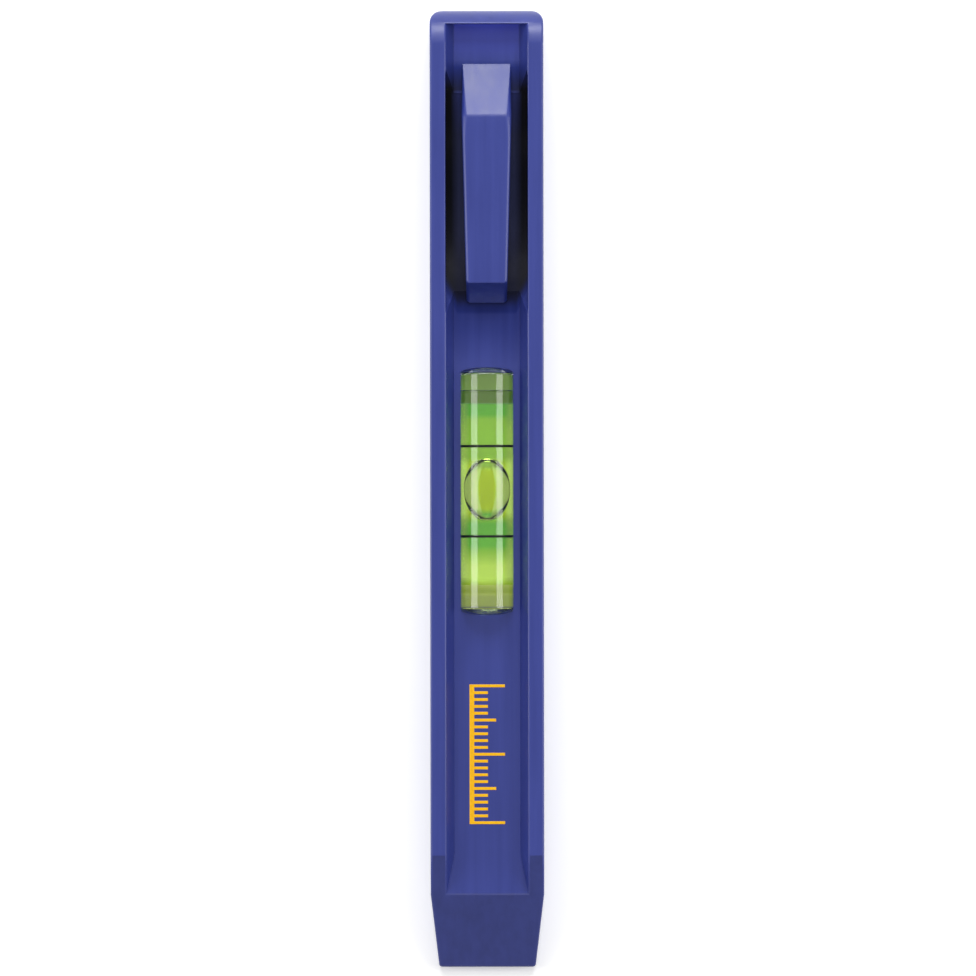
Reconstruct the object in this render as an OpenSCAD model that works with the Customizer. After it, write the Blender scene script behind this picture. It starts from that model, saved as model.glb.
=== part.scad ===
// Pocket level: a moulded H-section bar with a spring clip and a snap-in spirit vial.
// It lies on its back: X across, Y along the bar to the clip end, Z up to the reading side.

/* [Body] */
// Length of the bar
body_l = 140; // [130:1:180]
// Width of the bar across its rails
body_w = 16.6; // [16:0.1:20]
// Height of the rails above the surface that the bar lies on
body_h = 12; // [11.6:0.1:14]
// Width of each rail's top
rail_w = 2.3; // [1.8:0.1:2.6]
// Depth of the reading channel below the rails
channel_depth = 3.6; // [3.2:0.1:4]
// How far each channel wall leans in on its way to the floor
wall_lean = 1.2; // [0.4:0.1:1.4]
// Thickness of the web between the two channels
web_t = 2.2; // [1.8:0.1:2.6]
// Thickness of the wall at the clip end
end_wall = 2; // [1.4:0.1:2.6]
// Radius of the corners at the clip end, seen from above
corner_r = 1.8; // [0.6:0.1:2]
// Radius over which the rails run down at the clip end
end_round_r = 5; // [3:0.1:6]

/* [Nose] */
// Length of the sloped face at the other end
nose_l = 16.6; // [14:0.1:17.4]
// Slope of that face, which ends the reading channel where it meets the floor
nose_angle = 31.8; // [27:0.1:33]
// Length over which the sides draw in
taper_l = 10.8; // [8:0.1:14]
// Width of the tip
tip_w = 14.1; // [13.6:0.1:15.5]
// Radius of the tip's corners, seen from above
tip_r = 0.5; // [0.2:0.1:1]

/* [Back] */
// Width of the back channel at the base
back_w = 11.6; // [10:0.1:12]
// How far each back channel wall leans in on its way up
back_lean = 0.6; // [0.2:0.1:1]
// Thickness of the wall at the tip
tip_wall = 2.4; // [1.6:0.1:4]
// Thickness of the cross ribs
rib_t = 1.2; // [0.8:0.1:2]
// Spacing of the cross ribs below the vial
rib_pitch = 9.5; // [8:0.5:14]
// How far the ribs stay above the base
rib_setback = 1.5; // [0.5:0.1:2.5]

/* [Scoop] */
// Distance from the clip end to the scoop under the clip
scoop_from_end = 12; // [11.5:0.1:13]
// Length of the scoop at the channel floor
scoop_l = 29; // [26:0.5:30]
// Depth of the scoop below the channel floor
scoop_depth = 5.4; // [4:0.1:5.8]
// Thickness of the skin below the scoop
scoop_skin = 1.6; // [1:0.1:2]

/* [Pocket clip] */
// Distance from the clip end to the foot of the clip
clip_from_end = 7.8; // [7:0.1:8.4]
// Length of the ramp, seen from above
clip_ramp_l = 7.6; // [7:0.1:9]
// Height of the crease above the channel floor
clip_rise = 4.4; // [4:0.1:5.2]
// Length of the arm from the crease to the top of the tip
clip_arm_l = 24.2; // [22:0.1:25]
// How far the arm runs down along its length
clip_arm_drop = 0.4; // [0:0.1:0.8]
// Length of the sloped tip face, seen from above
clip_tip_l = 3.1; // [2:0.1:4]
// Length of the pad below the tip
clip_pad_l = 1.6; // [1:0.1:2.4]
// Thickness of the clip
clip_t = 2; // [1.6:0.1:2.4]
// Width of the clip at its foot
clip_foot_w = 7; // [6.4:0.05:7.6]
// Width of the clip at its crease
clip_crease_w = 7.25; // [6.4:0.05:7.6]
// Width of the clip at its tip
clip_tip_w = 5.9; // [5:0.1:6.4]
// Radius of the bead that the clip turns on
bead_r = 1; // [0.9:0.05:1.1]
// Depth of the bead's centre below the channel floor
bead_depth = 1.4; // [1.3:0.05:1.6]
// Thickness of the neck between the bead and the ramp
neck_t = 1.2; // [1:0.1:1.3]
// Gap between the channel floor and the clip's pad and ramp
floor_gap = 0.3; // [0.2:0.05:0.5]
// Radial clearance of the bead in its socket
bead_clear = 0.05; // [0.03:0.01:0.08]
// Room in front of the neck, which leans when the clip is lifted
neck_room = 0.3; // [0.25:0.05:0.5]

/* [Vial] */
// Outside diameter of the vial
vial_d = 7.8; // [7:0.1:8.2]
// Length of the vial between its end shoulders
vial_l = 34.4; // [30:0.1:36]
// Distance of the vial's middle from the bar's middle
vial_shift = -0.25; // [-2:0.05:1]
// Depth of the vial's axis below the channel floor
vial_sink = 0.8; // [0.5:0.05:1.2]
// Diameter of the bore
bore_d = 6.2; // [5.4:0.1:6.4]
// Crown of the vial's ends
dome_h = 0.8; // [0.4:0.1:1]
// Width of the flat shoulder round each crown
dome_shoulder = 0.2; // [0.1:0.05:0.5]
// Thickness of the barrel's closed end
closed_end_t = 3.5; // [2.5:0.1:4]
// Thickness of the plug's flange
plug_flange_t = 2.5; // [1.5:0.1:3]
// Length of the plug's spigot in the bore
plug_spigot_l = 1.9; // [1.2:0.1:2.5]
// Clearance of the pieces that fill the bore
bore_clear = 0.02; // [0.01:0.01:0.05]
// Clearance of the vial in its seat
seat_clear = 0.03; // [0.01:0.01:0.08]
// Clearance past the vial's ends
end_clear = 0.15; // [0.1:0.05:0.3]
// Distance between the middles of the two index lines
line_spacing = 13.2; // [11:0.1:16]
// Width of an index line
line_w = 0.34; // [0.2:0.02:0.5]
// Depth of the groove that holds an index line
line_depth = 0.12; // [0.08:0.01:0.2]
// Length of the bubble
bubble_l = 9.1; // [7:0.1:10]
// Clear film round the bubble
bubble_film = 0.15; // [0.1:0.01:0.25]

/* [Vial backing] */
// Thickness of the pale strip behind the vial
backing_t = 0.4; // [0.3:0.05:0.6]
// Distance of the strip's ends from the vial's ends
backing_inset = 0.3; // [0.2:0.1:2.5]
// Clearance round the strip
backing_clear = 0.05; // [0.03:0.01:0.1]
// Distance of the saddles from the vial's ends
saddle_inset = 3; // [2.8:0.1:6]
// Wall left below the vial in a saddle
saddle_wall = 1.2; // [0.8:0.1:1.6]

/* [Hidden] */
$fn = 96;

blue = [0.26, 0.3, 0.57];
clear = [0.86, 0.93, 0.86, 0.4];
green = [0.55, 0.76, 0.25, 0.8];

// Overlap of solids that are joined, and overshoot of cuts
lap = 0.5;
reach = body_l;

// Levels and places along the bar
half_l = body_l / 2;
floor_z = body_h - channel_depth;
ceiling_z = floor_z - web_t;
nose_y = nose_l - half_l;
tip_z = body_h - nose_l * tan(nose_angle);
channel_end_y = half_l - end_wall;
channel_stop_y = nose_y - channel_depth / tan(nose_angle);
channel_w = body_w - 2 * rail_w;
floor_w = channel_w - 2 * wall_lean;

// Scoop: an arc over its length and depth
scoop_y = half_l - scoop_from_end - scoop_l / 2;
scoop_r = (pow(scoop_l / 2, 2) + pow(scoop_depth, 2)) / (2 * scoop_depth);
scoop_z = floor_z - scoop_depth + scoop_r;

// Clip: the line of its ramp runs from the foot to the crease
foot_y = half_l - clip_from_end;
crease_y = foot_y - clip_ramp_l;
crease_z = floor_z + clip_rise;
ramp_slope = clip_rise / clip_ramp_l;
ramp_angle = atan(ramp_slope);
tip_top_y = crease_y - clip_arm_l;
tip_top_z = crease_z - clip_arm_drop;
tip_y = tip_top_y - clip_tip_l;
pad_z = floor_z + floor_gap;
arm_slope = clip_arm_drop / clip_arm_l;
neck_front_y = foot_y - neck_room;
neck_back_y = neck_front_y - neck_t;
bead_y = (neck_front_y + neck_back_y) / 2;
bead_z = floor_z - bead_depth;
socket_r = bead_r + bead_clear;
socket_w = clip_foot_w + 2 * neck_room;

function ramp_z(y) = floor_z + (foot_y - y) * ramp_slope;
function arm_z(y) = crease_z - (crease_y - y) * arm_slope;
function arm_under_z(y) = arm_z(y) - clip_t;

// Where the undersides of ramp and arm meet, and where the ramp's clears the floor
under_crease_y = crease_y - clip_t * (1 / cos(ramp_angle) - 1) / (ramp_slope + arm_slope);
under_foot_y = foot_y - (floor_gap + clip_t / cos(ramp_angle)) / ramp_slope;
tip_under_y = tip_y + clip_pad_l + clip_tip_l;

// Vial: its axis, ends and cavity
vial_r = vial_d / 2;
bore_r = bore_d / 2;
vial_z = floor_z - vial_sink;
vial_top_y = vial_shift + vial_l / 2;
vial_low_y = vial_shift - vial_l / 2;
barrel_top_y = vial_top_y - plug_flange_t;
cavity_top_y = barrel_top_y - plug_spigot_l;
cavity_low_y = vial_low_y + closed_end_t;
dome_r = vial_r - dome_shoulder;
dome_ball_r = (pow(dome_r, 2) + pow(dome_h, 2)) / (2 * dome_h);
seat_r = vial_r + seat_clear;

// Bubble: the bore's crown above a shallow bowl
bubble_r = bore_r - bubble_film;
bubble_bowl_r = (pow(bubble_l / 2, 2) + pow(bubble_r, 2)) / (2 * bubble_r);
liquid_top_z = vial_z - bubble_film;

// Backing: its edges stop short of the web
backing_in_r = vial_r + backing_clear;
backing_out_r = backing_in_r + backing_t;
backing_half = acos((vial_z - ceiling_z + 2 * backing_clear) / backing_in_r);
backing_l = vial_l - 2 * backing_inset;
notch_r = backing_out_r + backing_clear;
saddle_z = vial_z - notch_r - saddle_wall;

// Cross ribs: one above the vial, and a row from the vial to the nose
rib_start_y = vial_low_y - rib_pitch / 2;
rib_stop_y = channel_stop_y + rib_t;
upper_rib_y = (vial_top_y + scoop_y - scoop_l / 2) / 2;

// Points of an arc round c, between two angles
function arc(c, r, from, to, steps = 12) = [
    for (i = [0 : steps])
        let (a = from + (to - from) * i / steps)
            c + r * [cos(a), sin(a)]
];

// Extrudes a side view, drawn as [y, z], across the bar
module across(w) {
    rotate([90, 0, 90])
        linear_extrude(w, center = true)
            children();
}

// Extrudes a section, drawn as [x, z], along the bar between two places
module along(from, to) {
    translate([0, to, 0])
        rotate([90, 0, 0])
            linear_extrude(to - from)
                children();
}

// A round bar across the level
module rod_across(r, w) {
    rotate([0, 90, 0])
        cylinder(r = r, h = w, center = true);
}

// A round bar on the vial's axis between two places
module rod_along(r, from, to) {
    translate([0, to, vial_z])
        rotate([90, 0, 0])
            cylinder(r = r, h = to - from);
}

// A crown on the vial's end at y, pointing up or down the bar, grown by a clearance
module crown(y, way, grow = 0) {
    intersection() {
        translate([0, y + way * (dome_h - dome_ball_r), vial_z])
            sphere(dome_ball_r + grow);
        if (way > 0)
            rod_along(dome_r + grow, y - lap, y + dome_h + grow);
        else
            rod_along(dome_r + grow, y - dome_h - grow, y + lap);
    }
}

// Outline of the bar from above
module plan_view() {
    side = body_w / 2;
    tip = tip_w / 2;
    lean = atan((side - tip) / taper_l);
    right = concat(
        arc([tip - tip_r, tip_r - half_l], tip_r, -90, -lean),
        [[side, taper_l - half_l]],
        arc([side - corner_r, half_l - corner_r], corner_r, 0, 90)
    );
    left = [for (i = [len(right) - 1 : -1 : 0]) [-right[i][0], right[i][1]]];
    polygon(concat(right, left));
}

// Outline of the bar from the side
module side_view() {
    polygon(concat(
        [[-half_l, 0], [half_l, 0]],
        arc([half_l - end_round_r, body_h - end_round_r], end_round_r, 0, 90, 24),
        [[nose_y, body_h], [-half_l, tip_z]]
    ));
}

// Section of the reading channel below the rails, over a depth
module channel_section(depth) {
    over = lap / depth * wall_lean;
    polygon([
        [-floor_w / 2, -depth],
        [floor_w / 2, -depth],
        [channel_w / 2 + over, lap],
        [-channel_w / 2 - over, lap]
    ]);
}

// The reading channel, whose walls keep their lean down the nose and run out on it
module reading_channel() {
    translate([0, 0, body_h])
        along(nose_y, channel_end_y)
            channel_section(channel_depth);
    intersection() {
        translate([0, nose_y, body_h])
            rotate([nose_angle, 0, 0])
                along(-reach, lap)
                    channel_section(channel_depth * cos(nose_angle));
        translate([-body_w / 2, -half_l, floor_z])
            cube([body_w, nose_y + half_l, body_h]);
    }
}

// The back channel, open to the base, with a ceiling that follows the nose
module back_channel() {
    tip_in_y = tip_wall - half_l;
    grow = back_lean * lap / ceiling_z;
    intersection() {
        along(-half_l, half_l)
            polygon([
                [-back_w / 2 - grow, -lap],
                [back_w / 2 + grow, -lap],
                [back_w / 2 - back_lean, ceiling_z],
                [back_lean - back_w / 2, ceiling_z]
            ]);
        across(body_w)
            polygon([
                [tip_in_y, -lap],
                [channel_end_y, -lap],
                [channel_end_y, ceiling_z],
                [channel_stop_y, ceiling_z],
                [tip_in_y, ceiling_z - (channel_stop_y - tip_in_y) * tan(nose_angle)]
            ]);
    }
}

// A wall across the back channel, from z up into the web
module cross_wall(y, t, z) {
    translate([-back_w / 2 - lap / 2, y - t / 2, z])
        cube([back_w + lap, t, ceiling_z + lap - z]);
}

// The scoop's round, grown by the skin on its outside
module scoop_round(grow, w) {
    translate([0, scoop_y, scoop_z])
        rod_across(scoop_r + grow, w);
}

// What stands in the back channel: ribs, saddles, the scoop's skin and the socket's boss
module back_walls() {
    for (y = [rib_start_y : -rib_pitch : rib_stop_y])
        cross_wall(y, rib_t, rib_setback);
    cross_wall(upper_rib_y, rib_t, rib_setback);
    for (y = [vial_top_y - saddle_inset, vial_low_y + saddle_inset])
        cross_wall(y, rib_t, saddle_z);
    cross_wall(bead_y, 2 * (socket_r + rib_t), bead_z - socket_r - rib_t);
    intersection() {
        scoop_round(scoop_skin, channel_w + lap);
        cross_wall(scoop_y, reach, 0);
    }
}

// Seat that the vial snaps into, with room for its crowns and the backing
module vial_seat() {
    rod_along(seat_r, vial_low_y - end_clear, vial_top_y + end_clear);
    crown(vial_top_y, 1, end_clear);
    crown(vial_low_y, -1, end_clear);
    intersection() {
        rod_along(notch_r, vial_low_y, vial_top_y);
        translate([-body_w / 2, -half_l, 0])
            cube([body_w, body_l, ceiling_z]);
    }
}

// Socket for the clip's bead, with the mouth that its neck leaves through
module clip_socket() {
    mouth_from = neck_back_y - neck_room / 2;
    translate([0, bead_y, bead_z])
        rod_across(socket_r, socket_w);
    translate([-socket_w / 2, mouth_from, bead_z])
        cube([socket_w, foot_y - mouth_from, bead_depth + lap]);
}

module level_body() {
    color(blue)
        difference() {
            union() {
                difference() {
                    intersection() {
                        linear_extrude(body_h)
                            plan_view();
                        across(body_w)
                            side_view();
                    }
                    reading_channel();
                    back_channel();
                }
                back_walls();
            }
            scoop_round(0, channel_w);
            vial_seat();
            clip_socket();
        }
}

// Side view of the clip: neck, ramp, arm and tip
module clip_side() {
    polygon([
        [neck_front_y, bead_z],
        [neck_front_y, ramp_z(neck_front_y)],
        [crease_y, crease_z],
        [tip_top_y, tip_top_z],
        [tip_y, pad_z],
        [tip_y + clip_pad_l, pad_z],
        [tip_under_y, arm_under_z(tip_under_y)],
        [under_crease_y, arm_under_z(under_crease_y)],
        [under_foot_y, pad_z],
        [neck_back_y, pad_z],
        [neck_back_y, bead_z]
    ]);
}

// Outline of the clip from above, which draws in from its crease to its tip
module clip_plan() {
    polygon([
        [clip_foot_w / 2, foot_y],
        [clip_crease_w / 2, crease_y],
        [clip_tip_w / 2, tip_y],
        [-clip_tip_w / 2, tip_y],
        [-clip_crease_w / 2, crease_y],
        [-clip_foot_w / 2, foot_y]
    ]);
}

module pocket_clip() {
    color(blue) {
        intersection() {
            across(body_w)
                clip_side();
            linear_extrude(crease_z + lap)
                clip_plan();
        }
        translate([0, bead_y, bead_z])
            rod_across(bead_r, clip_foot_w);
    }
}

module vial_backing() {
    wing = 2 * notch_r * [sin(backing_half), -cos(backing_half)];
    color("white")
        translate([0, 0, vial_z])
            along(vial_shift - backing_l / 2, vial_shift + backing_l / 2)
                intersection() {
                    difference() {
                        circle(backing_out_r);
                        circle(backing_in_r);
                    }
                    polygon([[0, 0], [-wing[0], wing[1]], [0, -3 * notch_r], wing]);
                }
}

// A ring round the vial at an index line, flush with its outside
module line_ring(way) {
    y = vial_shift + way * line_spacing / 2;
    difference() {
        rod_along(vial_r, y - line_w / 2, y + line_w / 2);
        rod_along(vial_r - line_depth, y - line_w, y + line_w);
    }
}

module vial_barrel() {
    color(clear)
        difference() {
            union() {
                rod_along(vial_r, vial_low_y, barrel_top_y);
                crown(vial_low_y, -1);
            }
            rod_along(bore_r, cavity_low_y, vial_top_y);
            line_ring(1);
            line_ring(-1);
        }
}

module vial_plug() {
    color(clear) {
        rod_along(vial_r, barrel_top_y, vial_top_y);
        rod_along(bore_r - bore_clear, cavity_top_y, barrel_top_y + lap);
        crown(vial_top_y, 1);
    }
}

module upper_index_line() {
    color("black")
        line_ring(1);
}

module lower_index_line() {
    color("black")
        line_ring(-1);
}

// The liquid up to the height at which the bubble floats, so that the bubble can run
module vial_liquid() {
    color(green)
        intersection() {
            rod_along(bore_r - bore_clear, cavity_low_y + bore_clear, cavity_top_y - bore_clear);
            translate([-body_w / 2, -half_l, 0])
                cube([body_w, body_l, liquid_top_z]);
        }
}

module air_bubble() {
    color([0.85, 0.92, 0.6, 0.5])
        intersection() {
            rod_along(bubble_r, -bubble_l / 2, bubble_l / 2);
            translate([0, 0, vial_z + bubble_bowl_r])
                sphere(bubble_bowl_r);
        }
}

level_body();
pocket_clip();
vial_backing();
vial_barrel();
vial_plug();
upper_index_line();
lower_index_line();
vial_liquid();
air_bubble();
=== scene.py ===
"""Pocket level: the dressed bar, clip and spirit vial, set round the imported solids."""

from __future__ import annotations

import logging
import math
from collections.abc import Callable
from dataclasses import dataclass, field
from enum import Enum

import bmesh
import bpy
from mathutils import Matrix, Vector


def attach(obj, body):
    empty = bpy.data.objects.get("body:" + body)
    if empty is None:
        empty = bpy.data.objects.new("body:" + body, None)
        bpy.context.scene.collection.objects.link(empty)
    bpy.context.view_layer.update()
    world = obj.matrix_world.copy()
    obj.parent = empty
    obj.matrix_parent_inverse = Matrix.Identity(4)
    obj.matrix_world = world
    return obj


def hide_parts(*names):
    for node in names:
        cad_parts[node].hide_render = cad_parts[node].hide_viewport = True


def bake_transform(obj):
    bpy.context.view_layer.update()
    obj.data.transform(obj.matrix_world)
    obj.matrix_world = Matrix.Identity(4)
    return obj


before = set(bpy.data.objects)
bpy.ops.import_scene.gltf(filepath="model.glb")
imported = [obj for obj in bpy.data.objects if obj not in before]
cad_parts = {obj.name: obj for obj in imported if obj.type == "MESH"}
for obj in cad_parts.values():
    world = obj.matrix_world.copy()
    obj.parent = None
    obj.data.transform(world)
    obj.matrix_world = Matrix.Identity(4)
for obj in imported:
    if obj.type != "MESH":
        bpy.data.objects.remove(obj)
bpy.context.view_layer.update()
LOG = logging.getLogger("pocket_level")

# Sizes are in millimetres: MM is one of them in metres, and points within MERGE become one.
MM = 0.001
MERGE = 0.004
FULL_TURN = 360.0
# The height of a face's normal from which it looks up, aside or down.
LOOKS_UP, LOOKS_ASIDE, LOOKS_DOWN = 0.3, -0.01, -0.9
# The Mix node's sockets for colours: the share, the two colours and the result.
MIX_SHARE, MIX_LOW, MIX_HIGH, MIX_RESULT = 0, 6, 7, 2

Colour = tuple[float, float, float]
Scale = tuple[float, float, float]
Pair = tuple[float, float]
Socket = bpy.types.NodeSocket
Solid = bmesh.types.BMesh
Face = bmesh.types.BMFace
Edge = bmesh.types.BMEdge
Piece = bpy.types.Object

WHITE: Colour = (1.0, 1.0, 1.0)


class Body(str, Enum):
    """The moving bodies of the level."""

    BAR = "bar"
    CLIP = "clip"
    BUBBLE = "bubble"


class Slot(str, Enum):
    """The finishes that the record names."""

    BLUE = "blue_plastic"
    WHITE = "white_backing"
    CLEAR = "clear_acrylic"
    BLACK = "index_black"
    SPIRIT = "green_spirit"
    AIR = "air"


class Tint(Enum):
    """The film's colours: painted light and shade, from its dark ends to the pale and lime parts.
    """

    NIGHT = (0.02, 0.03, 0.15)
    BLUE = (0.04, 0.053, 0.21)
    SLATE = (0.055, 0.07, 0.09)
    OLIVE = (0.28, 0.35, 0.055)
    REED = (0.335, 0.415, 0.045)
    MOSS = (0.245, 0.33, 0.006)
    PALE = (0.67, 0.73, 0.51)
    GREEN = (0.15, 0.46, 0.22)
    SAGE = (0.34, 0.53, 0.24)
    LIME = (0.59, 0.62, 0.045)
    DEEP = (0.089, 0.203, 0.0)
    FERN = (0.127, 0.25, 0.012)
    SILVER = (0.64, 0.66, 0.68)
    MIST = (0.47, 0.56, 0.48)
    TEAL = (0.29, 0.44, 0.42)
    CREAM = (0.86, 0.92, 0.86)


class Side(Enum):
    """The two halves of the bar, as the sign of their X."""

    LEFT = -1
    RIGHT = 1


# Node helpers


class Recipe:
    """A material under construction: its nodes are added and joined by short calls."""

    def __init__(self, name: str) -> None:
        """Starts an empty material.

        Args:
            name: The material's name.
        """
        self.material = bpy.data.materials.new(name)
        self.material.use_nodes = True
        self.tree = self.material.node_tree
        self.tree.nodes.clear()
        self.output = self.tree.nodes.new("ShaderNodeOutputMaterial")

    def node(self, kind: str, **values: object) -> bpy.types.Node:
        """Adds a node and sets its inputs by name, or its properties in lower case.

        Args:
            kind: The node's type, without its common prefix.
            values: Inputs, with underscores for spaces, and lower-case properties.

        Returns:
            The new node.
        """
        made = self.tree.nodes.new("ShaderNode" + kind)
        for key, value in values.items():
            if key[0].islower():
                setattr(made, key, value)
            else:
                made.inputs[key.replace("_", " ")].default_value = value
        return made

    def join(self, source: Socket, target: Socket) -> None:
        """Links one socket to another."""
        self.tree.links.new(source, target)

    def place(self, scale: Scale) -> Socket:
        """Object coordinates, stretched for a pattern.

        Args:
            scale: How often the pattern repeats per metre along each axis.

        Returns:
            The mapped coordinates.
        """
        where = self.node("TexCoord")
        mapping = self.node("Mapping", Scale=scale)
        self.join(where.outputs["Object"], mapping.inputs["Vector"])
        return mapping.outputs["Vector"]

    def noise(self, scale: Scale, detail: float) -> Socket:
        """A cloudy pattern with a size of its own along each axis.

        Args:
            scale: How often it repeats per metre along each axis.
            detail: How many finer layers it has.

        Returns:
            The pattern's value from 0 to 1.
        """
        made = self.node("TexNoise", Scale=1.0, Detail=detail, Roughness=0.55)
        self.join(self.place(scale), made.inputs["Vector"])
        return made.outputs["Fac"]

    def span(self, value: Socket, low: float, high: float) -> Socket:
        """Spreads a pattern between two values.

        Args:
            value: The pattern, from 0 to 1.
            low: The result at 0.3 of the pattern.
            high: The result at 0.7 of the pattern.

        Returns:
            The spread value.
        """
        made = self.node("MapRange", From_Min=0.3, From_Max=0.7, To_Min=low, To_Max=high)
        self.join(value, made.inputs["Value"])
        return made.outputs["Result"]

    def mix(self, share: Socket, low: Socket | Colour, high: Socket | Colour) -> Socket:
        """A colour between two others, each of them a plain colour or a pattern.

        Args:
            share: The share of the second one.
            low: The one at 0.
            high: The one at 1.

        Returns:
            The mixed colour.
        """
        made = self.node("Mix", data_type="RGBA")
        self.join(share, made.inputs[MIX_SHARE])
        for socket, tone in ((MIX_LOW, low), (MIX_HIGH, high)):
            if isinstance(tone, tuple):
                made.inputs[socket].default_value = (*tone, 1.0)
            else:
                self.join(tone, made.inputs[socket])
        return made.outputs[MIX_RESULT]

    def split(self) -> bpy.types.bpy_prop_collection:
        """Object coordinates, taken apart.

        Returns:
            One output for each axis, named X, Y and Z.
        """
        made = self.node("SeparateXYZ")
        self.join(self.node("TexCoord").outputs["Object"], made.inputs["Vector"])
        return made.outputs

    def beside(self, place: Socket, start: float, end: float) -> Socket:
        """A share that grows with the distance from the bar's middle.

        Args:
            place: The place across the bar in metres.
            start: The distance in millimetres up to which it is 0.
            end: The distance from which it is 1.

        Returns:
            The share.
        """
        away = self.node("Math", operation="ABSOLUTE")
        made = self.node("MapRange", From_Min=start * MM, From_Max=end * MM)
        self.join(place, away.inputs[0])
        self.join(away.outputs[0], made.inputs["Value"])
        return made.outputs["Result"]

    def along(
        self, place: Socket, stops: tuple[tuple[float, float | Colour | Tint], ...]
    ) -> Socket:
        """A tone that runs along the bar.

        Args:
            place: The place along the bar in metres.
            stops: Places in millimetres, with the grey, colour or tint at each.

        Returns:
            The tone.
        """
        start, end = stops[0][0], stops[-1][0]
        share = self.node("MapRange", From_Min=start * MM, From_Max=end * MM)
        ramp = self.node("ValToRGB")
        self.join(place, share.inputs["Value"])
        self.join(share.outputs["Result"], ramp.inputs["Fac"])
        marks = ramp.color_ramp.elements
        while len(marks) < len(stops):
            marks.new(0.5)
        for mark, (at, tone) in zip(marks, stops):
            mark.position = (at - start) / (end - start)
            tone = tone.value if isinstance(tone, Tint) else tone
            mark.color = (*tone, 1.0) if isinstance(tone, tuple) else (tone, tone, tone, 1.0)
        return ramp.outputs["Color"]

    def relief(self, value: Socket, height: float, strength: float) -> Socket:
        """A fine relief on the surface.

        Args:
            value: The pattern that gives the height.
            height: The relief's height in metres.
            strength: The share of it that shows.

        Returns:
            The bent normal.
        """
        made = self.node("Bump", Distance=height, Strength=strength)
        self.join(value, made.inputs["Height"])
        return made.outputs["Normal"]

    def done(self, shader: Socket) -> bpy.types.Material:
        """Sends a shader to the output and returns the material."""
        self.join(shader, self.output.inputs["Surface"])
        return self.material


# Finishes


@dataclass(frozen=True)
class MouldedPlastic:
    """Satin moulded plastic with flow lines along the bar and a fine grain."""

    name: str
    low: Colour
    high: Colour
    roughness: Pair
    grain: float
    ior: float = 1.5
    flow: Scale = (700.0, 28.0, 700.0)
    cloud: Scale = (160.0, 90.0, 160.0)
    fine: Scale = (5200.0, 5200.0, 5200.0)
    flow_share: float = 0.7
    cloud_share: float = 0.3
    relief: float = 0.00003

    def material(self) -> bpy.types.Material:
        """Builds the material.

        Returns:
            The finished material.
        """
        recipe = Recipe(self.name)
        shader = recipe.node("BsdfPrincipled", IOR=self.ior, Specular_IOR_Level=0.5)
        flow = recipe.noise(self.flow, detail=4.0)
        cloud = recipe.noise(self.cloud, detail=3.0)
        fine = recipe.noise(self.fine, detail=2.0)
        tone = recipe.node("Math", operation="ADD")
        recipe.join(recipe.span(flow, 0.0, self.flow_share), tone.inputs[0])
        recipe.join(recipe.span(cloud, 0.0, self.cloud_share), tone.inputs[1])
        colour = recipe.mix(tone.outputs[0], self.low, self.high)
        recipe.join(self.tint(recipe, shader, colour), shader.inputs["Base Color"])
        recipe.join(recipe.span(flow, *self.roughness), shader.inputs["Roughness"])
        recipe.join(recipe.relief(fine, self.relief, self.grain), shader.inputs["Normal"])
        return recipe.done(shader.outputs["BSDF"])

    def tint(self, recipe: Recipe, shader: bpy.types.Node, colour: Socket) -> Socket:
        """Leaves the colour as it is."""
        return colour


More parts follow.
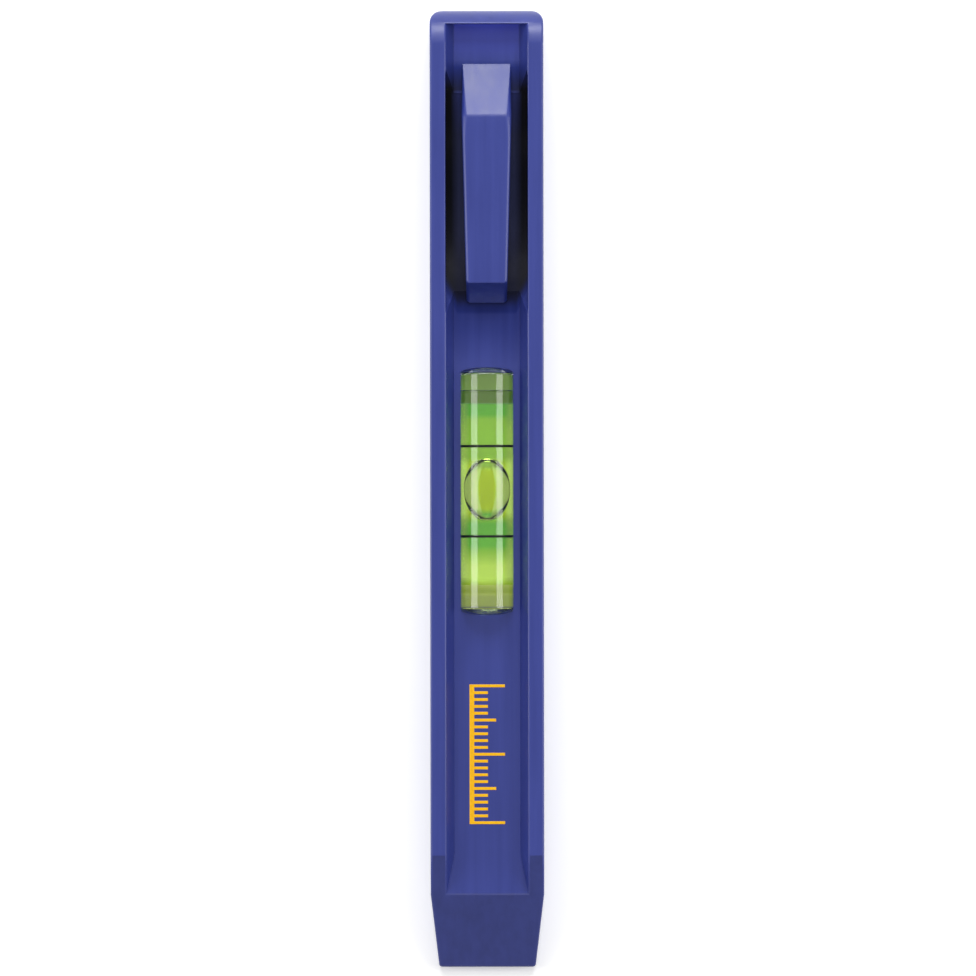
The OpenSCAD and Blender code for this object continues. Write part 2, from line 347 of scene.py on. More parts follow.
@dataclass(frozen=True)
class PaintedShadePlastic(MouldedPlastic):
    """The same plastic, with painted shade in the recess below the clip.

    It also paints light onto the floor by the end wall. Its ramps pair places along the bar with
    the tone there, and its spans are distances from the bar's middle.
    """

    # Painted shade: its share at the clip's tip and foot and its colours; then the painted
    # light's share.
    tip: tuple[Pair, ...] = ()
    foot: tuple[Pair, ...] = ()
    painted_shade_tones: tuple[tuple[float, Colour], ...] = ()
    painted_light_share: tuple[Pair, ...] = ()
    # Near black painted shade by the walls, reflections dimmed by painted shade, and painted
    # light.
    corner: Colour = (0.011, 0.0115, 0.018)
    painted_shade_sheen: Colour = (0.08, 0.08, 0.1)
    lit: Colour = (0.045, 0.065, 0.6)
    corner_span: Pair = (4.1, 5.2)
    lit_span: Pair = (4.6, 4.9)
    wall_span: Pair = (4.3, 6.0)
    slant: float = 3.4
    dull_at: float = 0.3

    def ends(self) -> Pair:
        """Where the dark begins and ends along the bar."""
        return self.tip[0][0], self.foot[-1][0]

    def shade(self, recipe: Recipe, place: bpy.types.bpy_prop_collection) -> Socket:
        """The share of painted shade, which ends on a slant on the walls beside the clip's tip.

        Args:
            recipe: The material.
            place: The place on the bar, one output for each axis.

        Returns:
            The share.
        """
        late = recipe.node("Math", operation="MULTIPLY_ADD")
        late.inputs[1].default_value = -self.slant * MM
        recipe.join(recipe.beside(place["X"], *self.wall_span), late.inputs[0])
        recipe.join(place["Y"], late.inputs[2])
        both = recipe.node("Math", operation="MULTIPLY")
        recipe.join(recipe.along(late.outputs[0], self.tip), both.inputs[0])
        recipe.join(recipe.along(place["Y"], self.foot), both.inputs[1])
        return both.outputs[0]

    def tint(self, recipe: Recipe, shader: bpy.types.Node, colour: Socket) -> Socket:
        """Paints dark, dull shade into the recess, most at its sides, and light by the end wall.

        Args:
            recipe: The material.
            shader: Its shader, whose reflections are dimmed here as painted shade.
            colour: The colour away from the recess.

        Returns:
            The colour with the recess's painted shade and the floor's painted light in it.
        """
        place = recipe.split()
        painted_shade_share = self.shade(recipe, place)
        corner = recipe.beside(place["X"], *self.corner_span)
        dark = recipe.mix(corner, recipe.along(place["Y"], self.painted_shade_tones), self.corner)
        dull = recipe.node("MapRange", From_Max=self.dull_at)
        recipe.join(painted_shade_share, dull.inputs["Value"])
        painted_shade_sheen = recipe.mix(dull.outputs["Result"], WHITE, self.painted_shade_sheen)
        recipe.join(painted_shade_sheen, shader.inputs["Specular Tint"])
        pale = recipe.mix(recipe.along(place["Y"], self.painted_light_share), colour, self.lit)
        pale = recipe.mix(recipe.beside(place["X"], *self.lit_span), pale, colour)
        return recipe.mix(painted_shade_share, pale, dark)


@dataclass(frozen=True)
class ClearPlastic:
    """Clear acrylic or liquid: light passes, bends and takes the tint."""

    name: str
    tint: Colour
    ior: float
    roughness: float
    coat: float = 0.0
    coat_roughness: float = 0.1
    swirl: Scale = (260.0, 120.0, 260.0)
    paler: Pair = (1.02, 0.01)

    def material(self) -> bpy.types.Material:
        """Builds the material.

        Returns:
            The finished material.
        """
        recipe = Recipe(self.name)
        shader = recipe.node(
            "BsdfPrincipled",
            Transmission_Weight=1.0,
            IOR=self.ior,
            Roughness=self.roughness,
            Coat_Weight=self.coat,
            Coat_Roughness=self.coat_roughness,
        )
        gain, lift = self.paler
        paler = tuple(min(1.0, c * gain + lift) for c in self.tint)
        tone = recipe.mix(recipe.noise(self.swirl, detail=2.0), self.tint, paler)
        recipe.join(tone, shader.inputs["Base Color"])
        return recipe.done(shader.outputs["BSDF"])


@dataclass(frozen=True)
class PaintedLightFilm:
    """Film behind the vial in the liquid's green, with painted light and shade along it and its
    sides.
    """

    name: str
    painted_tones: tuple[tuple[float, Tint], ...]
    sides: tuple[tuple[float, Tint], ...]
    # The film glows though it is no lamp: painted light.
    glow: float
    roughness: float = 0.6
    side_span: Pair = (1.2, 1.5)

    def material(self) -> bpy.types.Material:
        """Builds the material.

        Returns:
            The finished material.
        """
        recipe = Recipe(self.name)
        shader = recipe.node(
            "BsdfPrincipled", Roughness=self.roughness, Emission_Strength=self.glow
        )
        place = recipe.split()
        middle, sides = (recipe.along(place["Y"], stops) for stops in (self.painted_tones, self.sides))
        tone = recipe.mix(recipe.beside(place["X"], *self.side_span), middle, sides)
        # Emitting its colour makes the film glow as painted light.
        for socket in ("Base Color", "Emission Color"):
            recipe.join(tone, shader.inputs[socket])
        return recipe.done(shader.outputs["BSDF"])


@dataclass(frozen=True)
class Ink:
    """A printed or filled-in ink with small uneven spots."""

    name: str
    low: Colour
    high: Colour
    roughness: float
    specular: float = 0.2
    spots: Scale = (2600.0, 2600.0, 2600.0)
    relief: Pair = (0.00001, 0.4)

    def material(self) -> bpy.types.Material:
        """Builds the material.

        Returns:
            The finished material.
        """
        recipe = Recipe(self.name)
        shader = recipe.node(
            "BsdfPrincipled", Roughness=self.roughness, Specular_IOR_Level=self.specular
        )
        spots = recipe.noise(self.spots, detail=3.0)
        tone = recipe.mix(recipe.span(spots, 0.0, 1.0), self.low, self.high)
        recipe.join(tone, shader.inputs["Base Color"])
        recipe.join(recipe.relief(spots, *self.relief), shader.inputs["Normal"])
        return recipe.done(shader.outputs["BSDF"])


BLUE = MouldedPlastic(
    "blue_abs", (0.016, 0.0275, 0.184), (0.0265, 0.041, 0.235), roughness=(0.33, 0.41), grain=0.25
)
# The bar's plastic with painted shade below the clip and painted light by the end wall.
PAINTED_SHADE = PaintedShadePlastic(
    "blue_abs_painted_shade",
    BLUE.low,
    BLUE.high,
    BLUE.roughness,
    BLUE.grain,
    tip=(
        (18.0, 0.0),
        (19.5, 0.06),
        (23.0, 0.18),
        (25.6, 0.22),
        (26.7, 0.45),
        (27.7, 0.88),
        (28.6, 1.0),
    ),
    foot=((58.6, 1.0), (60.2, 0.62), (61.5, 0.34), (62.8, 0.04), (64.0, 0.0), (68.0, 0.0)),
    painted_light_share=((62.5, 0.0), (63.7, 0.1), (65.2, 0.28), (66.6, 0.46), (67.8, 0.85), (68.0, 0.9)),
    painted_shade_tones=(
        (29.0, (0.009, 0.01, 0.026)),
        (33.0, (0.012, 0.014, 0.04)),
        (38.0, (0.042, 0.048, 0.115)),
        (52.0, (0.058, 0.068, 0.175)),
        (57.6, (0.08, 0.098, 0.36)),
        (58.4, (0.022, 0.026, 0.08)),
        (60.0, (0.018, 0.021, 0.055)),
    ),
)
CLEAR = ClearPlastic("clear_acrylic", (0.97, 0.99, 0.95), ior=1.49, roughness=0.02)
# The crowned ends' blue tint is painted: it stands for the blue bar seen through them.
CROWN = ClearPlastic("crowned_acrylic", (0.72, 0.77, 0.92), ior=1.01, roughness=0.05, coat=0.7)
# The liquid bends light relative to the acrylic round it, and the bubble relative to the liquid.
SPIRIT = ClearPlastic("green_spirit", (0.8, 0.97, 0.34), ior=0.913, roughness=0.0)
AIR = ClearPlastic("air", WHITE, ior=0.785, roughness=0.15)
BLACK = Ink("index_ink", (0.004, 0.007, 0.004), (0.01, 0.016, 0.01), roughness=0.45)
YELLOW = Ink("scale_ink", (0.88, 0.44, 0.006), (0.95, 0.52, 0.014), roughness=0.5)
# The film's middle and its sides are alike below the vial's crowned ends, in dark painted shade.
FILM_LOW = (
    (-18.5, Tint.NIGHT),
    (-17.9, Tint.BLUE),
    (-17.4, Tint.SLATE),
    (-17.0, Tint.OLIVE),
)
FILM_TOP = ((17.2, Tint.BLUE), (18.0, Tint.BLUE))
# The film's colours paint the vial's light and shade: paler where the vial looks bright, dark at
# its ends.
PAINTED_FILM = PaintedLightFilm(
    "backing_film_painted_light",
    painted_tones=(
        *FILM_LOW,
        (-15.7, Tint.OLIVE),
        (-15.3, Tint.REED),
        (-15.05, Tint.MOSS),
        (-14.7, Tint.MOSS),
        (-14.0, Tint.REED),
        (-13.0, Tint.PALE),
        (-11.2, Tint.PALE),
        (-9.2, Tint.SAGE),
        (-8.2, Tint.GREEN),
        (-5.0, Tint.GREEN),
        (-3.4, Tint.LIME),
        (3.2, Tint.LIME),
        (4.8, Tint.SAGE),
        (10.2, Tint.SAGE),
        (11.0, Tint.GREEN),
        (12.4, Tint.GREEN),
        (12.7, Tint.DEEP),
        (14.4, Tint.DEEP),
        (14.6, Tint.FERN),
        (16.75, Tint.FERN),
        (16.95, Tint.SLATE),
        *FILM_TOP,
    ),
    sides=(
        *FILM_LOW,
        (-13.8, Tint.OLIVE),
        (-12.8, Tint.SILVER),
        (-11.2, Tint.SILVER),
        (-9.0, Tint.MIST),
        (-6.0, Tint.TEAL),
        (-4.6, Tint.MIST),
        (-3.4, Tint.CREAM),
        (3.6, Tint.CREAM),
        (4.8, Tint.MIST),
        (8.7, Tint.MIST),
        (11.2, Tint.TEAL),
        (12.4, Tint.TEAL),
        (12.7, Tint.DEEP),
        (16.75, Tint.FERN),
        *FILM_TOP,
    ),
    glow=0.3,
)


# Mesh helpers


def score(bm: Solid, faces: list[Face], point: Vector, normal: Vector) -> None:
    """Draws an edge on some faces where a plane meets them.

    Args:
        bm: The solid.
        faces: The faces to draw on.
        point: A point of the plane.
        normal: The plane's normal.
    """
    edges = {e for f in faces for e in f.edges}
    verts = {v for f in faces for v in f.verts}
    geom = list(faces) + list(edges) + list(verts)
    bmesh.ops.bisect_plane(bm, geom=geom, dist=MERGE, plane_co=point, plane_no=normal)


def loose_edges(bm: Solid) -> list[Edge]:
    """The edges that have a face on one side only."""
    return [e for e in bm.edges if e.is_boundary]


def weld(bm: Solid) -> None:
    """Makes one point of those that lie at the same place."""
    bmesh.ops.remove_doubles(bm, verts=bm.verts[:], dist=MERGE)


def cap(bm: Solid) -> None:
    """Closes every hole with a face."""
    bmesh.ops.holes_fill(bm, edges=loose_edges(bm), sides=0)


def loft(bm: Solid, sections: list[list[Vector]]) -> None:
    """Spans a skin over sections that have the same number of points.

    Args:
        bm: The mesh that the skin is added to.
        sections: The sections, each a row of points.
    """
    across, along = len(sections[0]) - 1, len(sections) - 1
    grid = bmesh.ops.create_grid(bm, x_segments=across, y_segments=along, size=1.0)
    for vert in grid["verts"]:
        i = round((vert.co.x + 1.0) / 2.0 * across)
        j = round((vert.co.y + 1.0) / 2.0 * along)
        vert.co = sections[j][i]


def hull(sections: list[list[Vector]]) -> Solid:
    """Spans a skin over closed sections and closes both ends.

    Args:
        sections: The sections, each a row of points that ends where it begins.

    Returns:
        The closed solid.
    """
    bm = bmesh.new()
    loft(bm, sections)
    weld(bm)
    cap(bm)
    return bm


def ring_of(right: list[Vector]) -> list[Vector]:
    """A section from its right half, closed by its first point."""
    left = [Vector((-p.x, p.y, p.z)) for p in right]
    return [*right, *left[::-1], right[0].copy()]


def row_of(right: list[Pair], y: float) -> list[Vector]:
    """A row of points across the bar, from the places (x, z) of its right half."""
    row = [(-x, z) for x, z in right] + right[::-1]
    return [Vector((x, y, z)) for x, z in row]


def bevel(bm: Solid, edges: list[Edge], offset: float, segments: int) -> None:
    """Rounds edges.

    Args:
        bm: The solid.
        edges: The edges to round.
        offset: How far the round reaches on each side.
        segments: How many strips it has.
    """
    bmesh.ops.bevel(
        bm,
        geom=edges,
        offset=offset,
        offset_type="OFFSET",
        segments=segments,
        profile=0.5,
        affect="EDGES",
        material=-1,
        clamp_overlap=False,
        loop_slide=True,
    )


def sharp_edges(bm: Solid, degrees: float) -> list[Edge]:
    """The edges at which the surface turns by more than an angle."""
    limit = math.radians(degrees)
    return [e for e in bm.edges if e.is_manifold and e.calc_face_angle(0.0) > limit]


def turned(
    profile: list[Pair],
    axis_z: float,
    steps: int = 72,
    sweep: float = FULL_TURN,
    start: float = 0.0,
) -> Solid:
    """Turns a profile about the vial's axis.

    Args:
        profile: Points as (radius, place along the bar).
        axis_z: The height of the axis.
        steps: How many strips the turn has.
        sweep: The angle of the turn.
        start: The angle of the profile from straight down.

    Returns:
        The turned shape.
    """
    bm = bmesh.new()
    axis = Vector((0.0, 0.0, axis_z))
    turn = Matrix.Rotation(math.radians(start), 4, "Y")
    verts = [bm.verts.new(turn @ Vector((0.0, y, -radius)) + axis) for radius, y in profile]
    edges = [bm.edges.new(pair) for pair in zip(verts, verts[1:])]
    bmesh.ops.spin(
        bm,
        geom=verts + edges,
        cent=axis,
        axis=(0.0, 1.0, 0.0),
        angle=math.radians(sweep),
        steps=steps,
        use_merge=sweep == FULL_TURN,
    )
    weld(bm)
    return bm


def piece(
    name: str,
    bm: Solid,
    finish: bpy.types.Material,
    sharp: float = 35.0,
    weighted: bool = True,
) -> Piece:
    """Makes an object in metres from a mesh in millimetres.

    Args:
        name: The piece's name.
        bm: The finished mesh, which is freed.
        finish: Its material.
        sharp: The angle from which an edge shows as a line.
        weighted: Whether large faces keep their own shading.

    Returns:
        The new object, at the origin.
    """
    bmesh.ops.recalc_face_normals(bm, faces=bm.faces[:])
    bmesh.ops.scale(bm, vec=(MM, MM, MM), verts=bm.verts[:])
    for edge in bm.edges:
        edge.smooth = edge.smooth and edge.calc_face_angle(0.0) < math.radians(sharp)
    for face in bm.faces:
        face.smooth = True
    mesh = bpy.data.meshes.new(name)
    bm.to_mesh(mesh)
    bm.free()
    mesh.materials.append(finish)
    made = bpy.data.objects.new(name, mesh)
    bpy.context.scene.collection.objects.link(made)
    if weighted:
        modifier = made.modifiers.new("even_shading", "WEIGHTED_NORMAL")
        modifier.keep_sharp = True
    LOG.info("%s: %d faces", name, len(mesh.polygons))
    return made


# The bar


@dataclass
class LevelBar:
    """The moulded bar: an H section with a wedge nose, a scoop and a seat for the vial."""

    length: float = 140.0
    width: float = 16.6
    height: float = 12.0
    channel_w: float = 12.0
    floor_w: float = 9.6
    floor_z: float = 8.4
    ceiling_z: float = 6.2
    end_wall: float = 2.0
    corner_r: float = 1.8
    end_r: float = 5.0
    nose_l: float = 16.6
    nose_angle: float = 31.8
    taper_l: float = 10.8
    tip_w: float = 14.1
    edge_r: float = 0.35
    rim_r: float = 0.24
    scoop_y: float = 43.5
    scoop_l: float = 29.0
    scoop_depth: float = 5.4
    scoop_skin: float = 1.6
    back_w: float = 11.6
    back_lean: float = 0.6
    tip_wall: float = 2.4
    rib_t: float = 1.2
    rib_z: float = 1.5
    ribs: tuple[float, ...] = (-50.7, -41.2, -31.7, -22.2, 22.98)
    boss: tuple[float, float, float] = (59.05, 63.55, 4.75)
    seat_low: float = -17.6
    seat_top: float = 17.1
    seat_crown: float = 0.8
    seat_half: float = 3.84
    saddles: tuple[float, ...] = (-14.45, 13.95)
    saddle_z: float = 2.0
    notch_r: float = 4.4
    vial_z: float = 7.6
    edge_steps: int = 4
    end_steps: int = 24
    flat_angle: float = 0.3
    rim_room: float = 1.2
    rim_angle: float = 15.0
    rim_slack: float = 0.06
    shade_slack: float = 0.15
    scoop_steps: int = 18
    scoop_rise: tuple[float, ...] = (1.0, 0.72, 0.4)
    skin_steps: int = 16
    seat_turns: tuple[float, ...] = (90.0, 62.0, 38.0, 18.0, 0.0)
    seat_gap: float = 0.1
    saddle_bite: float = 0.1
    saddle_lap: float = 0.2
    notch_steps: int = 12
    end_y: float = field(init=False)
    stop_y: float = field(init=False)
    nose_y: float = field(init=False)

    def __post_init__(self) -> None:
        """Works out where the channel and the nose begin and end."""
        run = (self.height - self.floor_z) / math.tan(math.radians(self.nose_angle))
        self.end_y = self.length / 2.0 - self.end_wall
        self.nose_y = self.nose_l - self.length / 2.0
        self.stop_y = self.nose_y - run

    def scoop_radius(self) -> float:
        """Radius of the scoop's round."""
        return ((self.scoop_l / 2.0) ** 2 + self.scoop_depth**2) / (2.0 * self.scoop_depth)

    def scoop_z(self, y: float) -> float:
        """Height of the scoop's round at a place.

        Args:
            y: The place along the bar.

        Returns:
            The height, which is far above the bar outside the scoop.
        """
        radius = self.scoop_radius()
        centre = self.floor_z - self.scoop_depth + radius
        reach = radius**2 - (y - self.scoop_y) ** 2
        return centre - math.sqrt(reach) if reach > 0.0 else 2.0 * self.height

    def in_shade(self, face: Face) -> bool:
        """Whether a face lies in the channel or its scoop, at or beside the clip.

        Args:
            face: A face of the finished bar.

        Returns:
            True where the face takes the plastic with painted shade.
        """
        at = face.calc_center_median()
        start, end = PAINTED_SHADE.ends()
        if abs(at.x) > self.channel_w / 2.0 + MERGE or not start < at.y < end - MERGE:
            return False
        low = min(self.floor_z, self.scoop_z(at.y)) - self.shade_slack
        high = self.height - self.rim_r - MERGE
        return low < at.z < high and face.normal.z > LOOKS_ASIDE

    def nose_z(self, y: float) -> float:
        """Height of the sloped nose at a place."""
        return self.height - (self.nose_y - y) * math.tan(math.radians(self.nose_angle))

    def top_z(self, y: float) -> float:
        """Height of the rails at a place.

        Args:
            y: The place along the bar.

        Returns:
            The height, lower on the nose and on the round of the clip end.
        """
        past = y - (self.length / 2.0 - self.end_r)
        if past > 0.0:
            return self.height - self.end_r + math.sqrt(self.end_r**2 - past**2)
        return min(self.height, self.nose_z(y))

    def wall_x(self, z: float, top: float) -> float:
        """How far from the middle the leaning wall is at a height, below a rail of its own."""
        lean = (self.channel_w - self.floor_w) / 2.0 / (self.height - self.floor_z)
        return self.channel_w / 2.0 - (top - z) * lean

    def seat_x(self, y: float) -> float:
        """Half the width of the vial's seat at a place.

        Args:
            y: The place along the bar.

        Returns:
            Half the width, which is the full one outside the seat.
        """
        past = max(self.seat_low - y, y - self.seat_top, 0.0) / self.seat_crown
        if past > 1.0 + MERGE:
            return self.seat_half
        return self.seat_half * math.sqrt(max(0.0, 1.0 - past * past))

    def half_width(self, y: float) -> float:
        """Half the bar's width at a place.

        Args:
            y: The place along the bar.

        Returns:
            Half the width, less at the nose and at the corners of the clip end.
        """
        half, r = self.length / 2.0, self.corner_r
        past = y - (half - r)
        if past > 0.0:
            return self.width / 2.0 - r + math.sqrt(max(0.0, r**2 - past**2))
        short = max(0.0, self.taper_l - half - y)
        return self.width / 2.0 - short * (self.width - self.tip_w) / 2.0 / self.taper_l

    def outline(self, y: float) -> list[Vector]:
        """The bar's outer section at a place, with rounded edges.

        Args:
            y: The place along the bar.

        Returns:
            The section, closed by its first point.
        """
        half, r = self.length / 2.0, self.edge_r
        near = max(0.0, r - half - y, y - half + r)
        inset = r - math.sqrt(max(0.0, r * r - near * near))
        front = inset if y < 0.0 else 0.0
        wide, low, top = self.half_width(y) - front, inset, self.top_z(y) - front / 2.0
        right = []
        for centre, start in ((low + r, -90.0), (top - r, 0.0)):
            for step in range(self.edge_steps + 1):
                angle = math.radians(start + 90.0 * step / self.edge_steps)
                x, z = wide - r + r * math.cos(angle), centre + r * math.sin(angle)
                right.append(Vector((x, y, z)))
        return ring_of(right)

    def block(self) -> Solid:
        """Spans the outside of the bar over its sections and closes both ends.

        Returns:
            The bar before its channels are opened.
        """
        half, steps = self.length / 2.0, self.end_steps
        turns = [math.radians(90.0 * i / steps) for i in range(steps + 1)]
        nose_turns, corner_turns = turns[:: steps // self.edge_steps], turns[:-1:2]
        places = [-half + self.edge_r * (1.0 - math.sin(a)) for a in nose_turns]
        places += [self.taper_l - half, self.nose_y]
        places += [half - self.end_r + self.end_r * math.sin(a) for a in turns]
        places += [half - self.corner_r + self.corner_r * math.sin(a) for a in corner_turns]
        # The strip beside the end wall's inner edge stays wide enough for that edge's round.
        clear = self.end_y + self.rim_room * self.rim_r
        places = [y for y in places if not self.end_y < y < clear] + [self.end_y]
        bm = hull([self.outline(y) for y in sorted(places)])
        bmesh.ops.recalc_face_normals(bm, faces=bm.faces[:])
        flat = math.radians(self.flat_angle)
        bmesh.ops.dissolve_limit(bm, angle_limit=flat, verts=bm.verts[:], edges=bm.edges[:])
        bm.normal_update()
        return bm

    def scoop_places(self) -> list[float]:
        """Places along the bar at which the scoop's round is drawn.

        Returns:
            The places from one end of the round, at the rails' height, to the other.
        """
        radius, steps = self.scoop_radius(), self.scoop_steps
        inner = math.asin(self.scoop_l / 2.0 / radius)
        drop = radius - self.scoop_depth + self.floor_z - self.height
        outer = math.acos(drop / radius)
        angles = [-outer * share - inner * (1.0 - share) for share in self.scoop_rise]
        angles += [-inner + 2.0 * inner * i / steps for i in range(steps // 2 + 1)]
        angles += [-a for a in reversed(angles[:-1])]
        return [self.scoop_y + radius * math.sin(a) for a in angles]

    def seat_places(self) -> list[float]:
        """Places along the bar at which the vial's seat is drawn.

        Returns:
            The places of its lower crown and of its upper one.
        """
        steps = [math.sin(math.radians(a)) for a in self.seat_turns]
        low = [self.seat_low - self.seat_crown * s for s in steps]
        top = [self.seat_top + self.seat_crown * s for s in reversed(steps)]
        return low + top

    def open_strip(
        self, bm: Solid, faces: Callable[[], list[Face]], half: float, places: list[float]
    ) -> None:
        """Takes a strip out of some faces, so that a channel can be set in.

        Args:
            bm: The bar.
            faces: Finds the faces, which are divided anew by each cut.
            half: Half the strip's width.
            places: Where the strip is divided, from its beginning to its end.
        """
        for side in Side:
            score(bm, faces(), Vector((side.value * half, 0, 0)), Vector((1, 0, 0)))
        for y in places:
            score(bm, faces(), Vector((0, y, 0)), Vector((0, 1, 0)))
        gone = []
        for face in faces():
            at = face.calc_center_median()
            if abs(at.x) < half and places[0] < at.y < places[-1]:
                gone.append(face)
        bmesh.ops.delete(bm, geom=gone, context="FACES")

    def channel(self, bm: Solid) -> None:
        """Opens the reading channel, lines it and leaves the vial's seat open.

        Args:
            bm: The bar.
        """
        half, within = self.channel_w / 2.0, self.width / 2.0 - self.edge_r
        places = [self.stop_y, *self.seat_places(), *self.scoop_places()]
        # The faces are also cut where the painted shade begins and ends.
        places += [*PAINTED_SHADE.ends(), self.end_y]

        def tops() -> list[Face]:
            """The faces that look up."""
            up = [f for f in bm.faces if f.normal.z > LOOKS_UP]
            return [f for f in up if abs(f.calc_center_median().x) < within]

        self.open_strip(bm, tops, half, places)
        rim = [v.co.copy() for v in bm.verts if v.is_boundary and v.co.x > half - MERGE]
        loft(bm, [self.section(co) for co in sorted(rim, key=lambda co: co.y)])
        weld(bm)
        self.close_end(bm, self.end_y)
        self.open_seat(bm, self.floor_z)

    def section(self, rim: Vector) -> list[Vector]:
        """The channel's section below a point of its right rim.

        Args:
            rim: The point.

        Returns:
            The section from the left rim to the right one.
        """
        y, top, scoop = rim.y, rim.z, self.scoop_z(rim.y)
        deep = min(self.floor_z, scoop)
        run = top if y < self.nose_y else self.height
        corner = self.wall_x(self.floor_z, run)
        if scoop > top - MERGE:
            wall = [(rim.x, top), (rim.x, top)]
        elif scoop > self.floor_z:
            wall = [(rim.x, scoop), (self.wall_x(scoop, run), scoop)]
        else:
            wall = [(rim.x, scoop), ((rim.x + corner) / 2.0, scoop)]
        inner = corner if y < self.stop_y + MERGE else self.seat_x(y)
        return row_of([(rim.x, top), *wall, (corner, deep), (inner, deep)], y)

    def close_end(self, bm: Solid, y: float) -> None:
        """Closes one end of a channel.

        Args:
            bm: The bar.
            y: The end's place.
        """
        loose = loose_edges(bm)
        end = [e for e in loose if all(abs(v.co.y - y) < MERGE for v in e.verts)]
        bmesh.ops.contextual_create(bm, geom=end)

    def open_seat(self, bm: Solid, z: float) -> None:
        """Takes out the faces that lie where the vial goes through.

        Args:
            bm: The bar.
            z: The height of the faces.
        """
        gone = []
        for face in bm.faces:
            at = face.calc_center_median()
            inside = self.seat_low - self.seat_crown < at.y < self.seat_top + self.seat_crown
            if inside and abs(at.z - z) < MERGE and abs(at.x) < MERGE:
                gone.append(face)
        bmesh.ops.delete(bm, geom=gone, context="FACES")

    def back_profile(self) -> list[Pair]:
        """The line of the back channel's ceiling, with its ribs, the scoop's skin and the boss.

        Returns:
            Pairs of a place and a height, from the nose to the clip end.
        """
        tip = self.tip_wall - self.length / 2.0
        drop = (self.stop_y - tip) * math.tan(math.radians(self.nose_angle))
        line = [(tip, self.ceiling_z - drop), (self.stop_y, self.ceiling_z)]
        half = self.rib_t / 2.0
        for y in self.ribs:
            line += [(y - half, self.ceiling_z), (y - half, self.rib_z)]
            line += [(y + half, self.rib_z), (y + half, self.ceiling_z)]
        line += [(y, self.ceiling_z) for y in self.seat_places()]
        radius = self.scoop_radius() + self.scoop_skin
        centre = self.scoop_radius() - self.scoop_depth + self.floor_z
        reach = math.acos((centre - self.ceiling_z) / radius)
        for i in range(self.skin_steps + 1):
            angle = reach * (2.0 * i / self.skin_steps - 1.0)
            y, z = self.scoop_y + radius * math.sin(angle), centre - radius * math.cos(angle)
            line.append((y, z))
        start, stop, low = self.boss
        line += [(start, self.ceiling_z), (start, low), (stop, low), (stop, self.ceiling_z)]
        line.append((self.end_y, self.ceiling_z))
        order = sorted(range(len(line)), key=lambda i: (round(line[i][0], 3), i))
        return [line[i] for i in order]

    def back(self, bm: Solid) -> None:
        """Opens the ribbed back channel and joins the vial's seat through the web.

        Args:
            bm: The bar.
        """
        half = self.back_w / 2.0
        profile = self.back_profile()
        places = sorted({round(y, 3) for y, _ in profile})

        def undersides() -> list[Face]:
            """The faces that lie on the base."""
            down = [f for f in bm.faces if f.normal.z < LOOKS_DOWN]
            return [f for f in down if f.calc_center_median().z < MERGE]

        self.open_strip(bm, undersides, half, places)
        sections = []
        for y, z in profile:
            wall = half - self.back_lean * z / self.ceiling_z
            seat = min(self.seat_x(y), wall - self.seat_gap)
            sections.append(row_of([(half, 0.0), (wall, z), (seat, z)], y))
        loft(bm, sections)
        weld(bm)
        self.open_seat(bm, self.ceiling_z)
        for y in (places[0], places[-1]):
            self.close_end(bm, y)
        bmesh.ops.bridge_loops(bm, edges=loose_edges(bm))
        bmesh.ops.dissolve_degenerate(bm, dist=MERGE / 4.0, edges=bm.edges[:])

    def saddle(self, bm: Solid, y: float) -> None:
        """Adds a cross wall with a round notch that the vial lies in.

        Args:
            bm: The bar.
            y: The wall's middle.
        """
        half = self.back_w / 2.0 + self.saddle_bite
        rise = self.vial_z - self.ceiling_z - self.saddle_lap
        reach = math.acos(rise / self.notch_r)
        outline = [(-half, self.saddle_z), (half, self.saddle_z), (half, self.vial_z - rise)]
        for i in range(self.notch_steps + 1):
            angle = reach * (1.0 - 2.0 * i / self.notch_steps)
            x = self.notch_r * math.sin(angle)
            outline.append((x, self.vial_z - self.notch_r * math.cos(angle)))
        outline.append((-half, self.vial_z - rise))
        start = y - self.rib_t / 2.0
        face = bm.faces.new([bm.verts.new((x, start, z)) for x, z in outline])
        grown = bmesh.ops.extrude_face_region(bm, geom=[face], use_keep_orig=True)
        moved = [v for v in grown["geom"] if isinstance(v, bmesh.types.BMVert)]
        bmesh.ops.translate(bm, vec=(0.0, self.rib_t, 0.0), verts=moved)

    def rims(self, bm: Solid) -> list[Edge]:
        """The upper edges of the channel, which are rounded.

        Args:
            bm: The bar.

        Returns:
            The edges along both rails and across the channel's ends.
        """
        found = []
        half = self.channel_w / 2.0
        for edge in sharp_edges(bm, self.rim_angle):
            ends = [v.co for v in edge.verts]
            high = all(abs(p.z - self.top_z(p.y)) < self.rim_slack for p in ends)
            inside = all(abs(p.x) < half + MERGE for p in ends)
            turns = [all(abs(abs(p.x) - half) < MERGE for p in ends)]
            turns += [all(abs(p.y - y) < MERGE for p in ends) for y in (self.end_y, self.stop_y)]
            if high and inside and any(turns):
                found.append(edge)
        return found

    def build(self) -> Piece:
        """Builds and dresses the bar.

        Returns:
            The bar's object.
        """
        bm = self.block()
        self.channel(bm)
        bevel(bm, self.rims(bm), self.rim_r, segments=3)
        self.back(bm)
        bmesh.ops.recalc_face_normals(bm, faces=bm.faces[:])
        for y in self.saddles:
            self.saddle(bm, y)
        bm.normal_update()
        # Faces in the recess take the plastic with painted shade and painted light.
        for face in bm.faces:
            face.material_index = int(self.in_shade(face))
        made = piece("level_bar", bm, BLUE.material(), sharp=31.0)
        made.data.materials.append(PAINTED_SHADE.material())
        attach(made, Body.BAR.value)
        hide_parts("level_body")
        return made


# The clip


